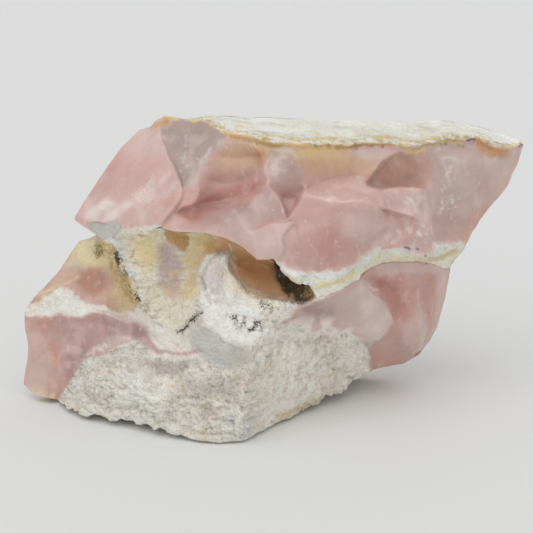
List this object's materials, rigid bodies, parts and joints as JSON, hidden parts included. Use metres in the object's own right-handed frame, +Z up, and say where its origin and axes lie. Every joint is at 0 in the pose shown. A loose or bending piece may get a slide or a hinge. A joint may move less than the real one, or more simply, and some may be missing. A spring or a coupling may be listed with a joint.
{
  "type": "raw opal specimen",
  "caption": "Raw chunk of pink opal in white chalky matrix, with a flat rind on top, broken shell-like faces in front and a small hollow; it stands on its flat foot.",
  "frame": {"origin": "bottom centre of the stone's bounding box, on the surface it rests on", "axes": "+X to the right along the stone's length as seen from the front, +Y from the front towards the back, +Z up; the broken front with the hollow faces -Y"},
  "size_m": [0.0816, 0.0412, 0.0476],
  "materials": {
    "opal": "satin broken opal, pale pink, with matt white chalk and yellow-brown iron stain"
  },
  "bodies": {
    "root": {"pink_opal": "opal"}
  },
  "joints": []
}
